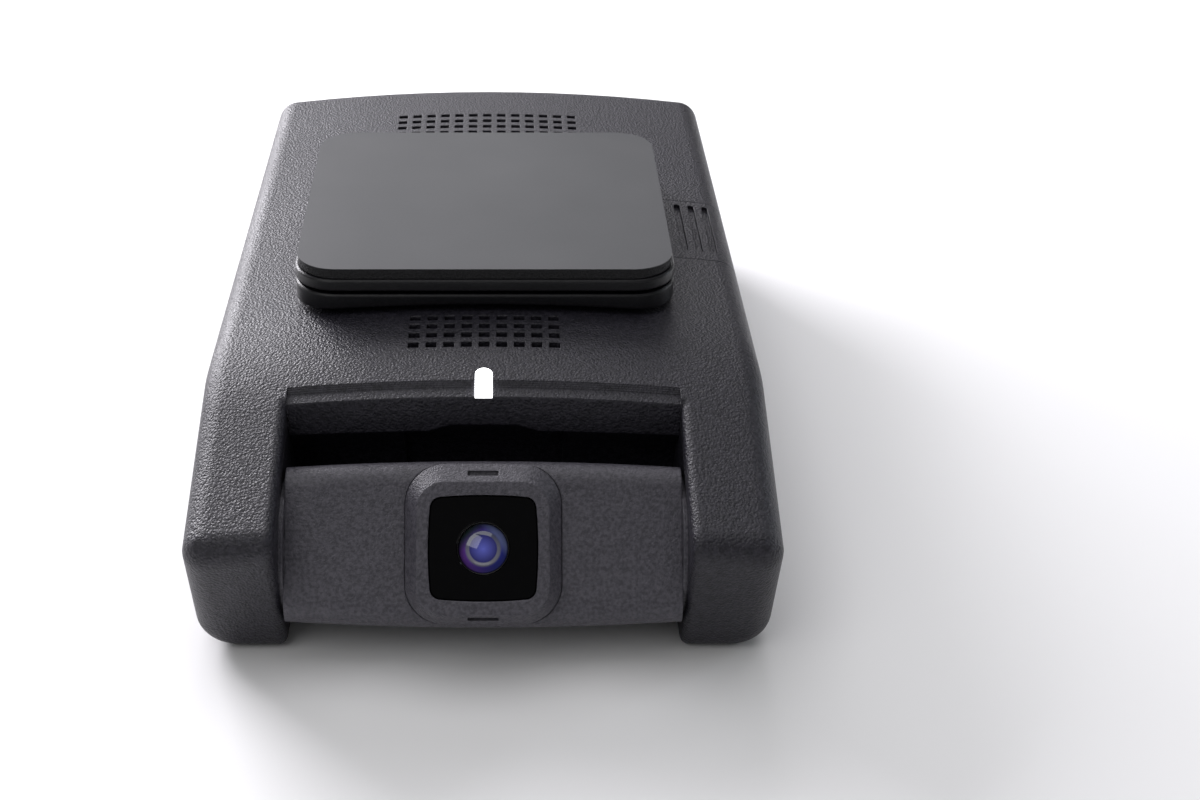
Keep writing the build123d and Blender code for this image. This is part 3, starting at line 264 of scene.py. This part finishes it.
# ------------------------------------------------------------------ materials
def moulded_plastic(name, dark, light, roughness, pitch, depth, specular=0.5):
    """Grained engineering plastic with soft edges, a lighter line along them that is partly wear and partly a
    painted highlight, and a little dust.
    """
    material, tree, shader, place = start_material(name)
    grain = place_group(tree, grain_group, Place=place, Pitch=pitch)
    edges = place_group(tree, edge_wear_highlight_group, Place=place, Radius=soft_edge_radius)
    dirt = place_group(tree, dust_group, Place=place, Amount=0.15)
    dusty = dirt.outputs["Mask"]
    # Lighter line along the edges: partly wear, partly a painted highlight.
    rubbed = math_node(tree, "MULTIPLY", edges.outputs["WearAndHighlight"], 0.35)
    worn_and_highlit = tuple(min(1.0, channel * 1.9 + 0.01) for channel in light)
    tone = blend_colour(tree, grain.outputs["Tone"], dark, light)
    tone = blend_colour(tree, rubbed, tone, worn_and_highlit)
    tone = blend_colour(tree, dusty, tone, (0.3, 0.29, 0.27))
    tree.links.new(tone, shader.inputs["Base Color"])
    gloss = remap(tree, grain.outputs["Patch"], between=(0.0, 1.0),
                  onto=(roughness - 0.04, roughness + 0.05))
    dulled = math_node(tree, "ADD", gloss, math_node(tree, "MULTIPLY", dusty, 0.4))
    tree.links.new(dulled, shader.inputs["Roughness"])
    shader.inputs["Specular IOR Level"].default_value = specular
    grained = bump(tree, grain.outputs["Height"], strength=0.55, depth=depth,
                   normal=edges.outputs["Normal"])
    tree.links.new(grained, shader.inputs["Normal"])
    return material


def polished_black():
    """Polished black front window with hairline scratches and a trace of haze."""
    material, tree, shader, place = start_material("polished black")
    haze = noise_node(tree, place, scale=260.0, detail=4.0)
    tree.links.new(remap(tree, haze, between=(0.3, 0.8), onto=(0.03, 0.09)),
                   shader.inputs["Roughness"])
    tone = blend_colour(tree, noise_node(tree, place, scale=900.0),
                        (0.0012, 0.0012, 0.0014), (0.0022, 0.0022, 0.0026))
    tree.links.new(tone, shader.inputs["Base Color"])
    shader.inputs["Specular IOR Level"].default_value = 0.12
    along = stretched(tree, place, (1.0, 14.0, 14.0))
    hairs = noise_node(tree, along, scale=320.0, detail=3.0, roughness=0.8)
    scratches = remap(tree, hairs, between=(0.6, 0.75))
    tree.links.new(bump(tree, scratches, strength=0.06, depth=0.00001), shader.inputs["Normal"])
    return material


def foam():
    """Closed-cell adhesive foam, cut at the sides."""
    material, tree, shader, place = start_material("adhesive foam")
    cells = tree.nodes.new("ShaderNodeTexVoronoi")
    cells.inputs["Scale"].default_value = 4200.0
    tree.links.new(place, cells.inputs["Vector"])
    pores = cells.outputs["Distance"]
    tone = blend_colour(tree, pores, (0.004, 0.004, 0.0045), (0.016, 0.016, 0.018))
    tree.links.new(tone, shader.inputs["Base Color"])
    shader.inputs["Roughness"].default_value = 0.85
    tree.links.new(bump(tree, pores, strength=0.8, depth=0.00012), shader.inputs["Normal"])
    return material


def grey_film():
    """Satin grey film on the pad, with a faint stipple and slow waves in its gloss."""
    material, tree, shader, place = start_material("grey film")
    fleck = noise_node(tree, place, scale=3800.0, detail=3.0)
    tone = blend_colour(tree, fleck, (0.022, 0.024, 0.026), (0.030, 0.032, 0.035))
    tree.links.new(tone, shader.inputs["Base Color"])
    gloss = remap(tree, noise_node(tree, place, scale=55.0), between=(0.3, 0.7), onto=(0.5, 0.56))
    tree.links.new(gloss, shader.inputs["Roughness"])
    stipple = noise_node(tree, place, scale=5200.0)
    tree.links.new(bump(tree, stipple, strength=0.3, depth=0.00002), shader.inputs["Normal"])
    return material


def lit_guide():
    """Frosted light guide, lit from inside and brightest along its middle."""
    material, tree, shader, place = start_material("lit guide")
    split = tree.nodes.new("ShaderNodeSeparateXYZ")
    tree.links.new(place, split.inputs[0])
    away = math_node(tree, "ABSOLUTE", split.outputs["X"])
    glow = remap(tree, away, between=(0.0, guide_glow_half), onto=(1.0, 0.8))
    tone = blend_colour(tree, glow, (0.72, 0.76, 0.82), (1.0, 1.0, 1.0))
    tree.links.new(tone, shader.inputs["Emission Color"])
    tree.links.new(tone, shader.inputs["Base Color"])
    shader.inputs["Emission Strength"].default_value = 4.0
    shader.inputs["Roughness"].default_value = 0.3
    return material


def metal(name, dark, light, roughness):
    """Plated sheet metal with brushing and dull patches."""
    material, tree, shader, place = start_material(name)
    brushed = stretched(tree, place, (1.0, 1.0, 18.0))
    lines = noise_node(tree, brushed, scale=900.0, detail=3.0, roughness=0.7)
    tree.links.new(blend_colour(tree, lines, dark, light), shader.inputs["Base Color"])
    gloss = remap(tree, lines, between=(0.3, 0.7), onto=(roughness - 0.08, roughness + 0.1))
    tree.links.new(gloss, shader.inputs["Roughness"])
    shader.inputs["Metallic"].default_value = 1.0
    tree.links.new(bump(tree, lines, strength=0.15, depth=0.00001), shader.inputs["Normal"])
    return material


def circuit_board():
    """Green solder mask with faint copper runs under it."""
    material, tree, shader, place = start_material("circuit board")
    runs = tree.nodes.new("ShaderNodeTexBrick")
    runs.inputs["Scale"].default_value = 420.0
    runs.inputs["Mortar Size"].default_value = 0.06
    runs.inputs["Color1"].default_value = (0.0, 0.0, 0.0, 1.0)
    runs.inputs["Color2"].default_value = (0.2, 0.2, 0.2, 1.0)
    runs.inputs["Mortar"].default_value = (1.0, 1.0, 1.0, 1.0)
    tree.links.new(place, runs.inputs["Vector"])
    copper = runs.outputs["Fac"]
    tone = blend_colour(tree, copper, (0.004, 0.045, 0.016), (0.02, 0.12, 0.045))
    tree.links.new(tone, shader.inputs["Base Color"])
    shader.inputs["Roughness"].default_value = 0.3
    tree.links.new(bump(tree, copper, strength=0.3, depth=0.00002), shader.inputs["Normal"])
    return material


def speckled(name, dark, light, roughness):
    """A plain small part whose colour and height vary finely."""
    material, tree, shader, place = start_material(name)
    fleck = noise_node(tree, place, scale=2500.0, detail=3.0, roughness=0.6)
    tree.links.new(blend_colour(tree, fleck, dark, light), shader.inputs["Base Color"])
    gloss = remap(tree, fleck, between=(0.3, 0.7), onto=(roughness - 0.05, roughness + 0.05))
    tree.links.new(gloss, shader.inputs["Roughness"])
    tree.links.new(bump(tree, fleck, strength=0.2, depth=0.00002), shader.inputs["Normal"])
    return material


def coated_front_lens():
    """Front element: violet and blue coats in rings about the lens axis, painted on an opaque disc together with
    painted highlights and reflections.
    """
    material, tree, shader, place = start_material("coated front lens")
    mapping = tree.nodes.new("ShaderNodeMapping")
    mapping.vector_type = "TEXTURE"
    mapping.inputs["Location"].default_value = middle("front_lens")
    mapping.inputs["Rotation"].default_value = lens_turn()
    tree.links.new(place, mapping.inputs["Vector"])
    split = tree.nodes.new("ShaderNodeSeparateXYZ")
    tree.links.new(mapping.outputs["Vector"], split.inputs[0])
    across, up = split.outputs["X"], split.outputs["Y"]
    squares = math_node(tree, "ADD", math_node(tree, "MULTIPLY", across, across),
                        math_node(tree, "MULTIPLY", up, up))
    radius = math_node(tree, "SQRT", squares)

    # Painted reflections over the outer ring: violet to the left and dark green up to the left are painted
    # reflected tints of the coats, and the pale patch up to the right is a painted reflection
    left = remap(tree, across, between=(0.0012, -0.0022))
    green_reflection_tint = remap(tree, math_node(tree, "SUBTRACT", up, across), between=(0.0018, 0.0034))
    leaning = math_node(tree, "ADD", math_node(tree, "MULTIPLY", up, 0.8), across)
    pale_reflection_patch = remap(tree, leaning, between=(0.0016, 0.0026))
    outer = blend_colour(tree, left, (0.05, 0.06, 0.36), (0.19, 0.07, 0.42))
    outer = blend_colour(tree, green_reflection_tint, outer, (0.03, 0.07, 0.05))
    outer = blend_colour(tree, pale_reflection_patch, outer, (0.2, 0.24, 0.5))

    # The grey ring is paler towards the bottom: a painted highlight.
    ring_highlight_low = remap(tree, up, between=(0.0016, -0.0012))
    ring = blend_colour(tree, ring_highlight_low, (0.06, 0.07, 0.14), (0.26, 0.26, 0.32))
    # The inner disc is paler at its centre: a painted highlight.
    inward = remap(tree, radius, between=(0.0, core_edge[0]))
    core = blend_colour(tree, inward, (0.12, 0.14, 0.62), (0.02, 0.02, 0.2))
    tone = blend_colour(tree, remap(tree, radius, between=ring_edge), ring, outer)
    tone = blend_colour(tree, remap(tree, radius, between=core_edge), core, tone)
    tone = blend_colour(tree, remap(tree, radius, between=rim_edge), tone, (0.01, 0.01, 0.02))
    tree.links.new(tone, shader.inputs["Base Color"])
    smear = noise_node(tree, place, scale=600.0)
    tree.links.new(remap(tree, smear, between=(0.3, 0.7), onto=(0.02, 0.06)),
                   shader.inputs["Roughness"])
    shader.inputs["Coat Weight"].default_value = 1.0
    shader.inputs["Coat Roughness"].default_value = 0.02
    return material


def coated_glass(name, tint, film):
    """Lens glass with an anti-reflection film of a thickness in nanometres."""
    material, tree, shader, place = start_material(name)
    shader.inputs["Transmission Weight"].default_value = 1.0
    shader.inputs["IOR"].default_value = 1.52
    shader.inputs["Roughness"].default_value = 0.0
    shader.inputs["Thin Film Thickness"].default_value = film
    shader.inputs["Thin Film IOR"].default_value = 1.9
    smear = noise_node(tree, place, scale=500.0)
    pale = tuple(min(1.0, channel * 1.08) for channel in tint)
    tree.links.new(blend_colour(tree, smear, tint, pale), shader.inputs["Base Color"])
    return material


materials = {
    "body_plastic": moulded_plastic(
        "body plastic", (0.0085, 0.0080, 0.0125), (0.024, 0.0225, 0.031),
        roughness=0.43, pitch=3300.0, depth=0.00017, specular=0.4),
    "barrel_plastic": moulded_plastic(
        "barrel plastic", (0.042, 0.040, 0.050), (0.082, 0.078, 0.094),
        roughness=0.46, pitch=4300.0, depth=0.00009, specular=0.45),
    "mount_plastic": moulded_plastic(
        "mount plastic", (0.003, 0.003, 0.004), (0.006, 0.006, 0.008),
        roughness=0.34, pitch=6500.0, depth=0.00002, specular=0.35),
    "button_plastic": moulded_plastic(
        "button plastic", (0.05, 0.05, 0.055), (0.075, 0.075, 0.08),
        roughness=0.42, pitch=5200.0, depth=0.00003),
    "black_plastic": moulded_plastic(
        "black plastic", (0.006, 0.006, 0.006), (0.012, 0.012, 0.012),
        roughness=0.4, pitch=6000.0, depth=0.00002),
    "window_glass": polished_black(),
    "foam": foam(),
    "liner": grey_film(),
    "light_pipe": lit_guide(),
    "lamp": speckled("lamp package", (0.7, 0.7, 0.62), (0.9, 0.9, 0.85), 0.35),
    "steel": metal("plated steel", (0.4, 0.4, 0.41), (0.62, 0.62, 0.63), 0.3),
    "heat_metal": metal("satin aluminium", (0.5, 0.5, 0.52), (0.7, 0.7, 0.72), 0.4),
    "board": circuit_board(),
    "washer_plastic": speckled("natural nylon", (0.5, 0.5, 0.46), (0.66, 0.66, 0.6), 0.45),
    "ribbon": speckled("amber film", (0.3, 0.12, 0.02), (0.42, 0.19, 0.04), 0.3),
    "sensor_package": speckled("sensor package", (0.02, 0.02, 0.04), (0.05, 0.05, 0.08), 0.2),
    "antenna_ceramic": speckled("antenna ceramic", (0.5, 0.46, 0.35), (0.62, 0.58, 0.47), 0.4),
    "thermal_rubber": speckled("thermal pad", (0.25, 0.3, 0.38), (0.36, 0.42, 0.5), 0.7),
    "capacitor_sleeve": speckled(
        "capacitor sleeve", (0.008, 0.015, 0.06), (0.016, 0.028, 0.1), 0.3),
    "lens_glass": coated_glass("lens glass", (0.86, 0.88, 0.96), film=380.0),
}


# ------------------------------------------------------------------ pieces made here
def add_object(name, mesh, material):
    """Turns a bmesh into a smooth object at the origin."""
    data = bpy.data.meshes.new(name)
    bmesh.ops.recalc_face_normals(mesh, faces=mesh.faces)
    for face in mesh.faces:
        face.smooth = True
    mesh.to_mesh(data)
    mesh.free()
    made = bpy.data.objects.new(name, data)
    bpy.context.scene.collection.objects.link(made)
    data.materials.append(material)
    return made


def round_over(mesh, edges, offset, segments):
    """Rounds edges of a bmesh."""
    bmesh.ops.bevel(mesh, geom=edges, offset=offset, offset_type="OFFSET", segments=segments,
                    profile=0.5, affect="EDGES", material=-1)


def rise(edge):
    """Height between an edge's ends."""
    return abs(edge.verts[0].co.z - edge.verts[1].co.z)


def rounded_slab(low, high, corner, edge):
    """A slab with round corners in plan and softened edges."""
    mesh = bmesh.new()
    centre, size = (low + high) / 2, high - low
    box = Matrix.Translation(centre) @ Matrix.Diagonal((*size, 1))
    bmesh.ops.create_cube(mesh, size=1.0, matrix=box)
    upright = [e for e in mesh.edges if rise(e) > size.z / 2]
    round_over(mesh, upright, corner, corner_steps)
    level = [e for e in mesh.edges if rise(e) < size.z / 2 and len(e.link_faces) == 2
             and any(abs(face.normal.z) > 0.9 for face in e.link_faces)]
    round_over(mesh, level, edge, edge_steps)
    return mesh


def make_foam_pad():
    """The adhesive foam, pressed slightly inwards at half its thickness."""
    low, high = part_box("adhesive_pad")
    mesh = rounded_slab(low, high, pad_corner, pad_edge)
    centre = (low + high) / 2
    bmesh.ops.bisect_plane(mesh, geom=mesh.verts[:] + mesh.edges[:] + mesh.faces[:],
                           plane_co=(0, 0, centre.z), plane_no=(0, 0, 1))
    for vert in mesh.verts:
        if abs(vert.co.z - centre.z) < same_height:
            inward = Vector((centre.x - vert.co.x, centre.y - vert.co.y, 0)).normalized()
            vert.co += inward * pad_waist
    pad = add_object("foam_pad", mesh, materials["foam"])
    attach(pad, "bracket")
    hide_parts("adhesive_pad")


def finish_cad_nodes():
    """Gives every CAD node the material of its slot, and the front element its painted coats, highlights and
    reflections.
    """
    for entry in frame["record"]["subparts"]:
        node = frame["nodes"][entry["node"]]
        node.data.materials.clear()
        node.data.materials.append(materials[entry["material_slot"]])
    frame["nodes"]["front_lens"].data.materials[0] = coated_front_lens()


# ------------------------------------------------------------------ floor, lights and camera
cool_white = (0.97, 0.95, 1.0)
soft_white = (0.98, 0.97, 1.0)
strip_white = (0.85, 0.92, 1.0)
body_spot = (-0.02, 0.0, 0.02)          # where the lamps point
right_flank = (0.03, 0.0, 0.02)

# Name: place, aim, width and height (m), power (W), colour
lamps = {
    "left_box": ((-0.37, 0.42, 0.25), body_spot, (0.3, 0.28), 5.4, cool_white),
    "back_box": ((-0.12, 0.80, 0.52), body_spot, (0.6, 0.5), 2.6, cool_white),
    "top_box": ((0.0, 0.1, 0.9), body_spot, (0.9, 0.9), 3.2, soft_white),
    "front_fill": ((-0.35, -0.45, 0.65), body_spot, (0.5, 0.5), 1.2, (1.0, 1.0, 1.0)),
    "right_strip": ((0.40, 0.12, 0.10), right_flank, (0.06, 0.3), 0.25, strip_white),
}
world_strength = 0.19

camera_place = (0.00167, -0.19675, 0.1215)
camera_down = 30.3           # degrees below level
camera_focal = 53.1          # mm, on a 36 mm sensor
camera_shift = (0.084, -0.0167)


def pale_floor():
    """Matt off-white with slow unevenness."""
    material, tree, shader, place = start_material("pale floor")
    tone = blend_colour(tree, noise_node(tree, place, scale=6.0), (0.9, 0.9, 0.9),
                        (0.93, 0.93, 0.93))
    tree.links.new(tone, shader.inputs["Base Color"])
    shader.inputs["Roughness"].default_value = 0.7
    return material


def make_floor():
    """A plain floor under the object."""
    mesh = bmesh.new()
    bmesh.ops.create_grid(mesh, x_segments=1, y_segments=1, size=floor_size)
    add_object("floor", mesh, pale_floor())


def area_light(name, place, target, size, power, colour):
    """A soft rectangular lamp aimed at a point."""
    data = bpy.data.lights.new(name, "AREA")
    data.shape = "RECTANGLE"
    data.size, data.size_y = size
    data.energy = power
    data.color = colour
    lamp = bpy.data.objects.new(name, data)
    lamp.location = place
    aim = Vector(target) - Vector(place)
    lamp.rotation_euler = aim.to_track_quat("-Z", "Y").to_euler()
    bpy.context.scene.collection.objects.link(lamp)


def make_lights():
    """Boxes to the left and behind, a top light, a front fill, a right strip and a dim world."""
    for name, lamp in lamps.items():
        area_light(name, *lamp)
    world = bpy.data.worlds.new("studio")
    world.use_nodes = True
    background = world.node_tree.nodes["Background"]
    background.inputs["Color"].default_value = (1.0, 1.0, 1.0, 1.0)
    background.inputs["Strength"].default_value = world_strength
    bpy.context.scene.world = world
    bpy.context.scene.view_settings.view_transform = "Standard"


def make_camera():
    """The camera in front of the lens end, looking down at it."""
    data = bpy.data.cameras.new("camera")
    data.sensor_width = 36.0
    data.lens = camera_focal
    data.shift_x, data.shift_y = camera_shift
    data.clip_start = 0.01
    camera = bpy.data.objects.new("camera", data)
    camera.location = camera_place
    camera.rotation_euler = (radians(90 - camera_down), 0, 0)
    bpy.context.scene.collection.objects.link(camera)
    bpy.context.scene.camera = camera


make_foam_pad()
finish_cad_nodes()
make_floor()
make_lights()
make_camera()
